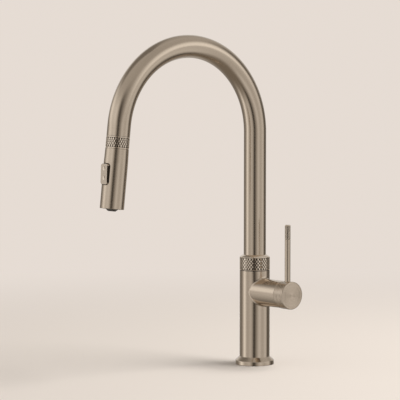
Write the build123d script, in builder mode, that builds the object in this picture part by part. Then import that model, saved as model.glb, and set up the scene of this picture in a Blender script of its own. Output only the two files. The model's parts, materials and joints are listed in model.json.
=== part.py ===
from build123d import *
import os
from math import cos, radians, sin, sqrt

# A pull-down kitchen faucet with one lever, in millimetres.
# The origin is on the column's axis at the deck, +Z is up, the spout reaches towards -Y
# and the handle's hub points towards +X.

# ---- driving dimensions -------------------------------------------------------------------------

# clearances
fit_gap = 0.05  # between a turned piece and the bore that holds it
running_gap = 0.08  # between a bearing face and what turns or slides in it
seam_gap = 0.3  # between two pieces that move apart

# spout and the swivel at its foot, from the tube outwards
tube_radius = 14.0
tube_wall = 1.4
bush_wall = 1.52
neck_wall = 1.35
collar_wall = 1.92
arch_start = 293.2
arch_radius = 106.45
arch_sweep = 173.57
dock_length = 12.9
hose_radius = 5.0
hose_bore = 3.2
hose_bottom = -72.0
hose_tail_radius = 5.4
hose_tail_length = 20.0

# column and base
column_top = 119.0
column_wall = 1.8
neck_length = 15.0
shoulder_depth = 7.0
flange_reach = 5.3
flange_edge_top = 5.1
flange_top = 10.1
flange_edge_round = 0.9
seal_thickness = 1.1
seal_proud = 0.4
seal_inset = 1.5
seal_land = 1.2

# collar, bush and clip
glide_thickness = 0.7
glide_inset = 0.5
collar_length = 16.2
collar_cone_height = 2.9
collar_cone_reach = 0.6
collar_roof = 1.0
bush_flange_thickness = 0.8
bush_flange_inset = 0.1
clip_thickness = 1.4
clip_reach = 1.4
clip_drop = 2.0
clip_groove_depth = 0.5
tube_foot = 2.0

# under the deck
shank_radius = 16.6
shank_bore = 14.8
shank_bottom = -62.0
shank_engagement = 8.0
shank_tail_radius = 16.0
shank_tail_length = 18.0
deck_thickness = 24.0
rubber_washer_reach = 9.4
rubber_washer_thickness = 3.0
steel_washer_reach = 8.4
steel_washer_thickness = 2.0
lock_nut_flats = 46.0
lock_nut_thickness = 10.0
supply_radius = 3.8
supply_bore = 3.1
supply_bottom = -95.0
supply_depth = 9.0
tail_radius = 4.0
tail_length = 30.0
supply_places = {"hot": (-7.0, 7.7), "cold": (-7.0, -7.7), "outlet": (10.4, 0.0)}

# valve block and mixing cartridge, whose lengths run along +X from the column's axis
hub_height = 92.6
hub_wall = 2.6
hub_saddle_round = 2.5
block_drop = 22.6
block_rise = 14.4
hose_passage = hose_radius + 0.6
seat_floor = 13.0
port_seal_thickness = 1.0
port_seal_width = 1.0
cartridge_radius = 12.5
cartridge_flange_reach = 1.8
cartridge_flange_thickness = 2.0
cartridge_shoulder = 44.0
cavity_wall = 2.5
cavity_floor = 21.5
disc_thickness = 3.4
disc_inset = 2.2
carrier_flat_inset = 1.8
rotor_inset = 0.3
rotor_head_drop = 3.6
slot_half_length = 6.0
pivot_drop = 4.0
pivot_pin_radius = 1.25
drive_arm = 5.5
drive_ball_radius = 2.0
drive_neck_radius = 1.6
stem_radius = 3.0
stem_foot_drop = 2.6
stem_grip = 4.9
nut_thickness = 5.0
nut_rim = 5.3
gallery_radius = 1.3
gallery_side = 7.2
gallery_rise = 2.6
outlet_drop = 6.0
base_port_radius = 1.8
base_port_draw = 0.8
disc_port_radius = 1.1
disc_port_draw = 1.6

# handle
dome_reach = 4.2
dome_wall = 1.6
dome_opening_angle = 33.0
dome_gap = 0.4
knob_reach = 0.3
knob_seam = 1.633
knob_length = 14.7
knob_rim_round = 1.3
lever_set_back = 8.6
lever_radius = 3.5
lever_top = 180.0
lever_tip_length = 18.9
lever_tip_chamfer = 0.8
lever_seat_depth = 3.4
lever_stud_radius = 2.0
lever_stud_depth = 5.8
tip_spigot_radius = 2.0
tip_spigot_length = 14.0
grub_radius = 2.0
grub_length = 6.0
grub_set_back = 5.0
grub_socket_flats = 2.0
grub_socket_depth = 2.5

# spray head, whose lengths run along the spout's end from the end of the arch
sleeve_wall = 1.87
sleeve_start = 0.6
lip_inset = 0.3
lip_thickness = 0.25
spigot_start = 2.5
spigot_lead = 1.5
fitting_reach = 0.65
grip_reach = 0.1
grip_wall = 2.1
grip_length = 14.6
shell_reach = 0.5
shell_wall = 1.4
shell_taper_length = 16.9
shell_length = 71.6
shell_edge_round = 0.6
window_set_back = 17.8
window_length = 26.3
window_width = 13.8
window_corner = 4.0
core_length = 55.6
check_valve_radius = 5.0
check_valve_length = 10.0
rocker_pivot_inset = 5.0
rocker_pin_radius = 0.9
rocker_side_gap = 0.6
rocker_top_gap = 0.9
rocker_top_rise = 2.7
rocker_bottom_rise = 1.0
rocker_underside_inset = 3.9
rocker_boss_radius = 2.0
rocker_dimples = (7.1, 18.1)
rocker_dimple_depth = 0.55
rocker_edge_round = 0.5
rocker_dimple_radius = 6.5
leg_thickness = 1.8
leg_half_width = 1.0
spool_radius = 2.6
spool_height = 2.2
spool_length = 20.0
spool_groove_radius = 1.3
spool_groove_width = 2.2
face_inset = 0.7
face_thickness = 1.4
nozzle_count = 20
nozzle_ring_radius = 10.0
nozzle_radius = 0.8
nozzle_length = 0.9
aerator_length = 10.4
aerator_radius = 7.5
aerator_cone_height = 2.5
aerator_proud = 2.7
aerator_tip_radius = 4.5
aerator_bore = 3.4
ring_inset = 0.4
ring_length = 11.3
ring_wall = 0.8

# ---- sizes that follow --------------------------------------------------------------------------

bush_bore = tube_radius + running_gap
bush_outer_radius = bush_bore + bush_wall
neck_bore = bush_outer_radius + fit_gap
neck_radius = neck_bore + neck_wall
body_radius = neck_radius + running_gap + collar_wall
column_bore = body_radius - column_wall
neck_top = column_top + neck_length
spout_shoulder = column_top - shoulder_depth
bush_bottom = spout_shoulder + seam_gap
clip_bottom = spout_shoulder - clip_drop
tube_bottom = clip_bottom - tube_foot
collar_bottom = column_top + glide_thickness + running_gap
collar_top = collar_bottom + collar_length
collar_cone_top = collar_top + collar_cone_height
collar_inside_top = neck_top + collar_roof
flange_radius = body_radius + flange_reach
flange_bore = shank_radius + fit_gap
shank_top = flange_top + shank_engagement

hub_radius = cartridge_radius + cartridge_flange_reach + 2 * fit_gap + hub_wall
cartridge_flange_radius = cartridge_radius + cartridge_flange_reach
cartridge_top = cartridge_shoulder + cartridge_flange_thickness
pivot_distance = cartridge_top - pivot_drop
cavity_radius = cartridge_radius - cavity_wall
disc_radius = cavity_radius - disc_inset
carrier_half_width = disc_radius - carrier_flat_inset
rotor_radius = cavity_radius - rotor_inset
rotor_bottom = pivot_distance - rotor_head_drop
slot_half_width = stem_radius + running_gap
stem_foot = pivot_distance - stem_foot_drop
nut_top = cartridge_top + nut_thickness
nut_radius = cartridge_flange_radius + fit_gap
nut_bore = nut_radius - nut_rim
block_bottom = hub_height - block_drop
block_top = hub_height + block_rise
block_radius = column_bore - 2 * fit_gap
supply_top = block_bottom + supply_depth

dome_radius = hub_radius + dome_reach
housing_end = pivot_distance + sqrt(dome_radius**2 - hub_radius**2)
cavity_sphere = dome_radius + dome_gap
knob_radius = hub_radius + knob_reach
knob_rim = housing_end + knob_seam
knob_face = knob_rim + knob_length
stem_top = pivot_distance + cavity_sphere + stem_grip
lever_distance = knob_face - lever_set_back
lever_tip_bottom = lever_top - lever_tip_length

sleeve_bore = tube_radius - tube_wall - fit_gap - sleeve_wall
spigot_radius = sleeve_bore - running_gap
spigot_bore = hose_radius + fitting_reach + fit_gap
grip_radius = tube_radius + grip_reach
grip_start = dock_length + seam_gap
grip_end = grip_start + grip_length
spigot_flange_radius = grip_radius - grip_wall
shell_start = grip_end + seam_gap
shell_full = shell_start + shell_taper_length
shell_end = shell_start + shell_length
shell_radius = tube_radius + shell_reach
shell_bore = shell_radius - shell_wall
window_start = shell_start + window_set_back
window_end = window_start + window_length
window_middle = (window_start + window_end) / 2
core_start = shell_start + seam_gap
core_end = core_start + core_length
core_radius = shell_bore - 2 * fit_gap
face_end = shell_end - face_inset
face_start = face_end - face_thickness
ring_outer = shell_bore - fit_gap
ring_end = shell_end - ring_inset
ring_start = ring_end - ring_length
manifold_radius = ring_outer - ring_wall - fit_gap
aerator_end = shell_end + aerator_proud
aerator_start = aerator_end - aerator_length
aerator_shoulder = aerator_end - aerator_cone_height

# ---- frames -------------------------------------------------------------------------------------

# each frame's z runs along its pieces: up the column, out along the hub, down the spray head
column = Plane.XY
hub = Plane(origin=(0, 0, hub_height), x_dir=(0, 1, 0), z_dir=(1, 0, 0))

with BuildLine(Plane.YZ) as spout_path:
    Line((0, tube_bottom), (0, arch_start))
    arch = CenterArc((-arch_radius, arch_start), arch_radius, 0, arch_sweep)
    end_angle = radians(arch_sweep)
    end_point = (arch_radius * (cos(end_angle) - 1), arch_start + arch_radius * sin(end_angle))
    PolarLine(end_point, dock_length, direction=(-sin(end_angle), cos(end_angle)))

head = Plane(origin=arch @ 1, x_dir=(1, 0, 0), z_dir=arch % 1)


def rod(radius, bottom, top, frame=column, bore=0.0, mode=Mode.ADD):
    """Adds a rod about the frame's axis, or a ring where it has a bore, to the part being built."""
    with BuildSketch(frame.offset(bottom)) as section:
        Circle(radius)
        if bore:
            Circle(bore, mode=Mode.SUBTRACT)
    extrude(section.sketch, amount=top - bottom, mode=mode)


def side_of(frame):
    """The plane that cuts a frame lengthwise: x is the radius and y the height along the frame's axis."""
    return Plane(origin=frame.origin, x_dir=frame.x_dir, z_dir=frame.y_dir * -1)


hub_side = side_of(hub)
hub_axis = Axis(hub.origin, hub.z_dir)


def turned(outline, frame=column, mode=Mode.ADD):
    """Adds the solid that a closed outline of (radius, height) points makes about the frame's axis."""
    with BuildSketch(side_of(frame)) as profile:
        with BuildLine():
            Polyline(*outline, close=True)
        make_face()
    revolve(profile.sketch, axis=Axis(frame.origin, frame.z_dir), mode=mode)


def holes(places, radius, bottom, top, frame=column):
    """Cuts a round hole at each place from the part being built."""
    with BuildSketch(frame.offset(bottom)) as section:
        with Locations(*places):
            Circle(radius)
    extrude(section.sketch, amount=top - bottom, mode=Mode.SUBTRACT)


os.makedirs("parts", exist_ok=True)


def save(label, part):
    """Names a finished piece and writes it."""
    part.label = label
    export_step(part, f"parts/{label}.step")


# ---- base and column ----------------------------------------------------------------------------

seal_outer_radius = flange_radius - seal_inset
seal_inner_radius = shank_radius + seal_land

with BuildPart() as base_seal:
    rod(seal_outer_radius, 0, seal_thickness, bore=seal_inner_radius)
save("base_seal", base_seal.part)

with BuildPart() as base_flange:
    turned(
        [
            (flange_bore, seal_proud),
            (flange_radius, seal_proud),
            (flange_radius, flange_edge_top),
            (body_radius, flange_top),
            (flange_bore, flange_top),
        ]
    )
    groove_bore = seal_inner_radius - fit_gap
    rod(seal_outer_radius + fit_gap, 0, seal_thickness, bore=groove_bore, mode=Mode.SUBTRACT)
    rings = base_flange.edges().filter_by(GeomType.CIRCLE)
    rim = rings.filter_by(lambda edge: edge.radius > flange_radius - fit_gap)
    fillet(rim.sort_by(Axis.Z)[-1], flange_edge_round)
save("base_flange", base_flange.part)

with BuildPart() as column_body:
    rod(body_radius, flange_top, column_top)
    rod(hub_radius, 0, housing_end, frame=hub)
    plain = (GeomType.CIRCLE, GeomType.LINE)
    fillet(column_body.edges().filter_by(lambda edge: edge.geom_type not in plain), hub_saddle_round)
    rod(neck_radius, column_top, neck_top)
    rod(flange_bore, flange_top, shank_top + seam_gap, mode=Mode.SUBTRACT)
    rod(column_bore, shank_top + seam_gap, spout_shoulder, mode=Mode.SUBTRACT)
    rod(neck_bore, spout_shoulder, neck_top, mode=Mode.SUBTRACT)
    rod(cartridge_radius + 2 * fit_gap, 0, cartridge_shoulder, frame=hub, mode=Mode.SUBTRACT)
    rod(nut_radius + fit_gap, cartridge_shoulder, housing_end, frame=hub, mode=Mode.SUBTRACT)
save("column_body", column_body.part)

# ---- mounting under the deck --------------------------------------------------------------------

with BuildPart() as mounting_shank:
    rod(shank_radius, shank_bottom + shank_tail_length, shank_top, bore=shank_bore)
    rod(shank_tail_radius, shank_bottom, shank_bottom + shank_tail_length, bore=shank_bore)
save("mounting_shank", mounting_shank.part)

rubber_bottom = -deck_thickness - rubber_washer_thickness
steel_bottom = rubber_bottom - steel_washer_thickness
washer_bore = shank_radius + seam_gap

with BuildPart() as deck_washer_rubber:
    rod(washer_bore + rubber_washer_reach, rubber_bottom, -deck_thickness, bore=washer_bore)
save("deck_washer_rubber", deck_washer_rubber.part)

with BuildPart() as deck_washer_steel:
    rod(washer_bore + steel_washer_reach, steel_bottom, rubber_bottom, bore=washer_bore)
save("deck_washer_steel", deck_washer_steel.part)

with BuildPart() as lock_nut:
    with BuildSketch(column.offset(steel_bottom - lock_nut_thickness)):
        RegularPolygon(lock_nut_flats / 2, 6, major_radius=False)
        Circle(shank_radius + fit_gap, mode=Mode.SUBTRACT)
    extrude(amount=lock_nut_thickness)
save("lock_nut", lock_nut.part)

for name, place in supply_places.items():
    label = f"{name}_tube" if name == "outlet" else f"{name}_inlet_tube"
    tube_axis = Plane(origin=(*place, 0))
    with BuildPart() as supply_tube:
        rod(supply_radius, supply_bottom + tail_length, supply_top, frame=tube_axis, bore=supply_bore)
        rod(tail_radius, supply_bottom, supply_bottom + tail_length, frame=tube_axis, bore=supply_bore)
    save(label, supply_tube.part)

# ---- valve block and cartridge ------------------------------------------------------------------

inlet_ports = [(side * gallery_side, gallery_rise) for side in (1, -1)]
outlet_port = (0, -outlet_drop)
inlet_height = hub_height + gallery_rise
outlet_height = hub_height - outlet_drop
outlet_x = supply_places["outlet"][0]
inlet_x = supply_places["hot"][0]


def base_ports(radius, draw_in, bottom, top):
    """Cuts the two inlet ports and the outlet port, drawn in towards the cartridge's axis."""
    places = [(side * (gallery_side - draw_in), gallery_rise) for side in (1, -1)]
    holes(places + [(0, draw_in / 2 - outlet_drop)], radius, bottom, top, frame=hub)


with BuildPart() as valve_block:
    rod(block_radius, block_bottom, block_top)
    rod(hose_passage, block_bottom, block_top, mode=Mode.SUBTRACT)
    rod(cartridge_radius + 2 * fit_gap, seat_floor, body_radius, frame=hub, mode=Mode.SUBTRACT)
    holes(list(supply_places.values()), supply_radius + fit_gap, block_bottom, supply_top)
    holes([(inlet_x, gallery_side), (inlet_x, -gallery_side)], gallery_radius, supply_top, inlet_height)
    holes(inlet_ports, gallery_radius, inlet_x, seat_floor, frame=hub)
    holes([(outlet_x, 0)], gallery_radius, supply_top, outlet_height)
    holes([outlet_port], gallery_radius, outlet_x, seat_floor, frame=hub)
save("valve_block", valve_block.part)

cartridge_base = seat_floor + port_seal_thickness

with BuildPart() as cartridge_seals:
    with BuildSketch(hub.offset(seat_floor)):
        with Locations(*inlet_ports, outlet_port):
            Circle(gallery_radius + seam_gap + port_seal_width)
            Circle(gallery_radius + seam_gap, mode=Mode.SUBTRACT)
    extrude(amount=port_seal_thickness)
save("cartridge_seals", cartridge_seals.part)

with BuildPart() as cartridge_body:
    rod(cartridge_radius, cartridge_base, cartridge_top, frame=hub)
    rod(cartridge_flange_radius, cartridge_shoulder, cartridge_top, frame=hub)
    rod(cavity_radius, cavity_floor, cartridge_top, frame=hub, mode=Mode.SUBTRACT)
    base_ports(base_port_radius, base_port_draw, cartridge_base, cavity_floor)
save("cartridge_body", cartridge_body.part)

fixed_disc_top = cavity_floor + disc_thickness

with BuildPart() as ceramic_disc_fixed:
    rod(cavity_radius - fit_gap, cavity_floor, fixed_disc_top, frame=hub)
    base_ports(disc_port_radius, disc_port_draw, cavity_floor, fixed_disc_top)
save("ceramic_disc_fixed", ceramic_disc_fixed.part)

moving_disc_bottom = fixed_disc_top + running_gap
moving_disc_top = moving_disc_bottom + disc_thickness
mixing_pocket = disc_thickness / 2

with BuildPart() as ceramic_disc_moving:
    rod(disc_radius, moving_disc_bottom, moving_disc_top, frame=hub)
    with BuildSketch(hub.offset(moving_disc_bottom)):
        Rectangle(disc_radius, disc_radius / 2)
    extrude(amount=mixing_pocket, mode=Mode.SUBTRACT)
save("ceramic_disc_moving", ceramic_disc_moving.part)

carrier_top = rotor_bottom - 2 * running_gap
pocket_floor = pivot_distance - drive_arm - drive_ball_radius - seam_gap
pocket_half = drive_ball_radius + 2 * running_gap

with BuildPart() as disc_carrier:
    with BuildSketch(hub.offset(moving_disc_top)):
        Circle(disc_radius)
        Rectangle(2 * carrier_half_width, 2 * disc_radius, mode=Mode.INTERSECT)
    extrude(amount=carrier_top - moving_disc_top)
    with BuildSketch(hub.offset(pocket_floor)):
        Rectangle(2 * pocket_half, 2 * pocket_half)
    extrude(amount=carrier_top - pocket_floor, mode=Mode.SUBTRACT)
save("disc_carrier", disc_carrier.part)

rotor_top = cartridge_top - 2 * fit_gap
rotor_leg_bottom = moving_disc_top + seam_gap
pivot_axis = Plane(origin=(pivot_distance, 0, hub_height), x_dir=(1, 0, 0), z_dir=(0, 1, 0))

with BuildPart() as cartridge_rotor:
    with BuildSketch(hub.offset(rotor_leg_bottom)):
        Circle(rotor_radius)
        Rectangle(2 * (carrier_half_width + running_gap), 2 * rotor_radius, mode=Mode.SUBTRACT)
    extrude(amount=rotor_bottom - rotor_leg_bottom)
    rod(rotor_radius, rotor_bottom, rotor_top, frame=hub)
    with BuildSketch(hub.offset(rotor_bottom)):
        Rectangle(2 * slot_half_width, 2 * slot_half_length)
    extrude(amount=rotor_top - rotor_bottom, mode=Mode.SUBTRACT)
    rod(pivot_pin_radius + fit_gap / 2, -rotor_radius, rotor_radius, frame=pivot_axis, mode=Mode.SUBTRACT)
save("cartridge_rotor", cartridge_rotor.part)

pivot_pin_half = rotor_radius - seam_gap

with BuildPart() as stem_pivot_pin:
    rod(pivot_pin_radius, -pivot_pin_half, pivot_pin_half, frame=pivot_axis)
save("stem_pivot_pin", stem_pivot_pin.part)

drive_ball_distance = pivot_distance - drive_arm

drive_neck_start = drive_ball_distance + sqrt(drive_ball_radius**2 - drive_neck_radius**2)

with BuildPart() as cartridge_stem:
    with BuildSketch(hub_side):
        with BuildLine():
            ball_start = (0, drive_ball_distance - drive_ball_radius)
            ball_side = (drive_ball_radius, drive_ball_distance)
            ball = ThreePointArc(ball_start, ball_side, (drive_neck_radius, drive_neck_start))
            Polyline(
                ball @ 1,
                (drive_neck_radius, stem_foot),
                (stem_radius, stem_foot),
                (stem_radius, stem_top),
                (0, stem_top),
                ball @ 0,
            )
        make_face()
    revolve(axis=hub_axis)
    rod(pivot_pin_radius + running_gap, -stem_radius, stem_radius, frame=pivot_axis, mode=Mode.SUBTRACT)
save("cartridge_stem", cartridge_stem.part)

nut_bottom = cartridge_top + fit_gap / 2

with BuildPart() as cartridge_nut:
    rod(nut_radius, nut_bottom, nut_top, frame=hub, bore=nut_bore)
save("cartridge_nut", cartridge_nut.part)

opening = radians(dome_opening_angle)
dome_inside = dome_radius - dome_wall
skirt_inner = dome_inside * sin(opening) + dome_wall
skirt_bottom = nut_top + fit_gap

with BuildPart() as cartridge_shroud:
    with BuildSketch(hub_side):
        with BuildLine():
            foot = Line((skirt_inner, skirt_bottom), (nut_radius, skirt_bottom))
            skirt = Line(foot @ 1, (nut_radius, housing_end))
            ledge = Line(skirt @ 1, (hub_radius, housing_end))
            outside_end = (dome_radius * sin(opening), pivot_distance + dome_radius * cos(opening))
            outside = RadiusArc(ledge @ 1, outside_end, -dome_radius)
            inside_start = (dome_inside * sin(opening), pivot_distance + dome_inside * cos(opening))
            lip = Line(outside @ 1, inside_start)
            inside_end = (skirt_inner, pivot_distance + sqrt(dome_inside**2 - skirt_inner**2))
            inside = RadiusArc(lip @ 1, inside_end, dome_inside)
            Line(inside @ 1, foot @ 0)
        make_face()
    revolve(axis=hub_axis)
save("cartridge_shroud", cartridge_shroud.part)

# ---- handle -------------------------------------------------------------------------------------

lever_frame = Plane(origin=(lever_distance, 0, hub_height))
lever_seat = knob_radius - lever_seat_depth
lever_stud_end = knob_radius - lever_stud_depth
grub_frame = Plane(origin=(knob_face - grub_set_back, 0, hub_height), x_dir=(1, 0, 0), z_dir=(0, 0, -1))

with BuildPart() as handle_knob:
    with BuildSketch(hub_side):
        with BuildLine():
            rim_reach = knob_rim - pivot_distance
            rim_point = (sqrt(cavity_sphere**2 - rim_reach**2), knob_rim)
            knob_line = Polyline(
                rim_point,
                (knob_radius, knob_rim),
                (knob_radius, knob_face),
                (0, knob_face),
                (0, pivot_distance + cavity_sphere),
            )
            RadiusArc(knob_line @ 1, rim_point, cavity_sphere)
        make_face()
        fillet(vertices().sort_by(lambda corner: corner.X + corner.Y)[-1], knob_rim_round)
    revolve(axis=hub_axis)
    rod(stem_radius + fit_gap, pivot_distance, stem_top + fit_gap, frame=hub, mode=Mode.SUBTRACT)
    rod(lever_radius + fit_gap, lever_seat, knob_radius + 1, frame=lever_frame, mode=Mode.SUBTRACT)
    rod(lever_stud_radius + fit_gap, lever_stud_end, lever_seat + 1, frame=lever_frame, mode=Mode.SUBTRACT)
    rod(grub_radius + fit_gap, 0, knob_radius + 1, frame=grub_frame, mode=Mode.SUBTRACT)
save("handle_knob", handle_knob.part)

with BuildPart() as handle_set_screw:
    rod(grub_radius, stem_radius + fit_gap, stem_radius + grub_length, frame=grub_frame)
    with BuildSketch(grub_frame.offset(stem_radius + grub_length - grub_socket_depth)):
        RegularPolygon(grub_socket_flats / 2, 6, major_radius=False)
    extrude(amount=grub_socket_depth, mode=Mode.SUBTRACT)
save("handle_set_screw", handle_set_screw.part)

with BuildPart() as lever_pin:
    rod(lever_stud_radius, lever_stud_end, lever_seat, frame=lever_frame)
    rod(lever_radius, lever_seat, lever_tip_bottom - hub_height, frame=lever_frame)
    spigot_foot = lever_tip_bottom - hub_height
    rod(tip_spigot_radius, spigot_foot, spigot_foot + tip_spigot_length, frame=lever_frame)
save("lever_pin", lever_pin.part)

with BuildPart() as lever_tip:
    rod(lever_radius, lever_tip_bottom - hub_height, lever_top - hub_height, frame=lever_frame)
    chamfer(lever_tip.edges().filter_by(GeomType.CIRCLE).sort_by(Axis.Z)[-1], lever_tip_chamfer)
    spigot_end = spigot_foot + tip_spigot_length + fit_gap
    rod(tip_spigot_radius + fit_gap, spigot_foot, spigot_end, frame=lever_frame, mode=Mode.SUBTRACT)
save("lever_tip", lever_tip.part)

# ---- spout --------------------------------------------------------------------------------------

with BuildPart() as spout_tube:
    with BuildSketch(column.offset(tube_bottom)):
        Circle(tube_radius)
        Circle(tube_radius - tube_wall, mode=Mode.SUBTRACT)
    sweep(path=spout_path.line)
    clip_groove = tube_radius - clip_groove_depth
    rod(tube_radius + 1, clip_bottom, clip_bottom + clip_thickness, bore=clip_groove, mode=Mode.SUBTRACT)
save("spout_tube", spout_tube.part)

with BuildPart() as spout_retaining_ring:
    clip_top = clip_bottom + clip_thickness
    rod(tube_radius + clip_reach, clip_bottom + fit_gap, clip_top - fit_gap, bore=clip_groove + fit_gap)
save("spout_retaining_ring", spout_retaining_ring.part)

bush_flange_radius = neck_radius - bush_flange_inset
bush_flange_bottom = neck_top + fit_gap

with BuildPart() as swivel_bush:
    rod(bush_outer_radius, bush_bottom, bush_flange_bottom, bore=bush_bore)
    rod(bush_flange_radius, bush_flange_bottom, bush_flange_bottom + bush_flange_thickness, bore=bush_bore)
save("swivel_bush", swivel_bush.part)

with BuildPart() as collar_glide_ring:
    rod(body_radius - glide_inset, column_top, column_top + glide_thickness, bore=neck_radius + fit_gap)
save("collar_glide_ring", collar_glide_ring.part)

with BuildPart() as knurled_collar:
    turned(
        [
            (neck_radius + running_gap, collar_bottom),
            (body_radius, collar_bottom),
            (body_radius, collar_top),
            (tube_radius + collar_cone_reach, collar_cone_top),
            (tube_radius + fit_gap, collar_cone_top),
            (tube_radius + fit_gap, collar_inside_top),
            (neck_radius + running_gap, collar_inside_top),
        ]
    )
save("knurled_collar", knurled_collar.part)

with BuildPart() as dock_sleeve:
    rod(tube_radius - tube_wall - fit_gap, sleeve_start, dock_length, frame=head, bore=sleeve_bore)
    rod(tube_radius - lip_inset, dock_length, dock_length + lip_thickness, frame=head, bore=sleeve_bore)
save("dock_sleeve", dock_sleeve.part)

with BuildLine(Plane.YZ) as hose_path:
    Line((0, hose_bottom), (0, arch_start))
    CenterArc((-arch_radius, arch_start), arch_radius, 0, arch_sweep)

with BuildPart() as pullout_hose:
    with BuildSketch(column.offset(hose_bottom)):
        Circle(hose_radius)
        Circle(hose_bore, mode=Mode.SUBTRACT)
    sweep(path=hose_path.line)
save("pullout_hose", pullout_hose.part)

with BuildPart() as hose_tail_fitting:
    rod(hose_tail_radius, hose_bottom - hose_tail_length, hose_bottom, bore=hose_bore)
save("hose_tail_fitting", hose_tail_fitting.part)

# ---- spray head ---------------------------------------------------------------------------------

with BuildPart() as docking_spigot:
    turned(
        [
            (spigot_bore, spigot_start),
            (spigot_radius - 1, spigot_start),
            (spigot_radius, spigot_start + spigot_lead),
            (spigot_radius, grip_start),
            (spigot_flange_radius, grip_start),
            (spigot_flange_radius, core_start),
            (spigot_bore, core_start),
        ],
        frame=head,
    )
save("docking_spigot", docking_spigot.part)

with BuildPart() as grip_ring:
    rod(grip_radius, grip_start, grip_end, frame=head, bore=spigot_flange_radius + fit_gap)
save("grip_ring", grip_ring.part)

with BuildPart() as hose_head_fitting:
    rod(hose_radius, seam_gap, spigot_start, frame=head, bore=hose_bore)
    rod(spigot_bore - fit_gap, spigot_start, core_start, frame=head, bore=hose_bore)
save("hose_head_fitting", hose_head_fitting.part)

rocker_face = Plane(origin=head.offset(window_middle).origin, x_dir=head.x_dir, z_dir=head.y_dir)

with BuildPart() as head_shell:
    turned(
        [
            (shell_bore, shell_start),
            (grip_radius, shell_start),
            (shell_radius, shell_full),
            (shell_radius, shell_end),
            (shell_bore, shell_end),
        ],
        frame=head,
    )
    outer_rim = head_shell.edges().filter_by(GeomType.CIRCLE).sort_by(Axis.Z)
    fillet(outer_rim.filter_by(lambda edge: edge.radius > shell_radius - fit_gap).first, shell_edge_round)
    with BuildSketch(rocker_face.offset(shell_radius / 2)):
        RectangleRounded(window_width, window_length, window_corner)
    extrude(amount=shell_radius, mode=Mode.SUBTRACT)
save("head_shell", head_shell.part)

rocker_pivot_height = shell_radius - rocker_pivot_inset
valve_end = core_start + check_valve_length
rocker_half_width = window_width / 2 - rocker_side_gap
rocker_well = rocker_half_width + 2 * running_gap
well_floor = rocker_pivot_height - 2 * seam_gap
boss_floor = rocker_pivot_height - rocker_boss_radius - seam_gap
spool_axis = Plane(origin=head.origin + head.y_dir * spool_height, x_dir=head.x_dir, z_dir=head.z_dir)
spool_start = window_middle - spool_length / 2
pin_axis = Plane(
    origin=head.offset(window_middle).origin + head.y_dir * rocker_pivot_height,
    x_dir=head.z_dir,
    z_dir=head.x_dir,
)
rocker_pin_half = sqrt(core_radius**2 - (rocker_pivot_height + rocker_pin_radius) ** 2) - fit_gap
leg_tip = spool_height + spool_groove_radius + 2 * running_gap

with BuildPart() as head_core:
    rod(core_radius, core_start, core_end, frame=head)
    rod(check_valve_radius + fit_gap, core_start, valve_end, frame=head, mode=Mode.SUBTRACT)
    rod(spool_radius + running_gap, valve_end, core_end, frame=spool_axis, mode=Mode.SUBTRACT)
    with BuildSketch(rocker_face.offset(well_floor)):
        Rectangle(2 * rocker_well, window_length)
    extrude(amount=core_radius, mode=Mode.SUBTRACT)
    with BuildSketch(rocker_face.offset(boss_floor)):
        Rectangle(2 * rocker_well, 2 * (rocker_boss_radius + seam_gap))
    extrude(amount=core_radius, mode=Mode.SUBTRACT)
    with BuildSketch(rocker_face.offset(spool_height)):
        Rectangle(2 * (leg_half_width + seam_gap), leg_thickness + 4 * seam_gap)
    extrude(amount=core_radius, mode=Mode.SUBTRACT)
    rod(rocker_pin_radius + fit_gap / 2, -core_radius, core_radius, frame=pin_axis, mode=Mode.SUBTRACT)
save("head_core", head_core.part)

with BuildPart() as rocker_pivot_pin:
    rod(rocker_pin_radius, -rocker_pin_half, rocker_pin_half, frame=pin_axis)
save("rocker_pivot_pin", rocker_pivot_pin.part)

with BuildPart() as check_valve:
    rod(check_valve_radius, core_start + fit_gap, valve_end - fit_gap, frame=head, bore=hose_bore / 2)
save("check_valve", check_valve.part)

# the rocker's side outline runs in the head's own plane of symmetry: length down the head, height outwards
rocker_start = window_start + rocker_top_gap
rocker_end = window_end - rocker_side_gap
rocker_underside = shell_radius - rocker_underside_inset
rocker_top = shell_radius + rocker_top_rise
rocker_low = shell_radius + rocker_bottom_rise
rocker_slope = (rocker_low - rocker_top) / (rocker_end - rocker_start)
rocker_side = Plane(origin=head.origin, x_dir=head.z_dir, z_dir=head.x_dir * -1)
pin_spot = (window_middle, rocker_pivot_height)

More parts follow.
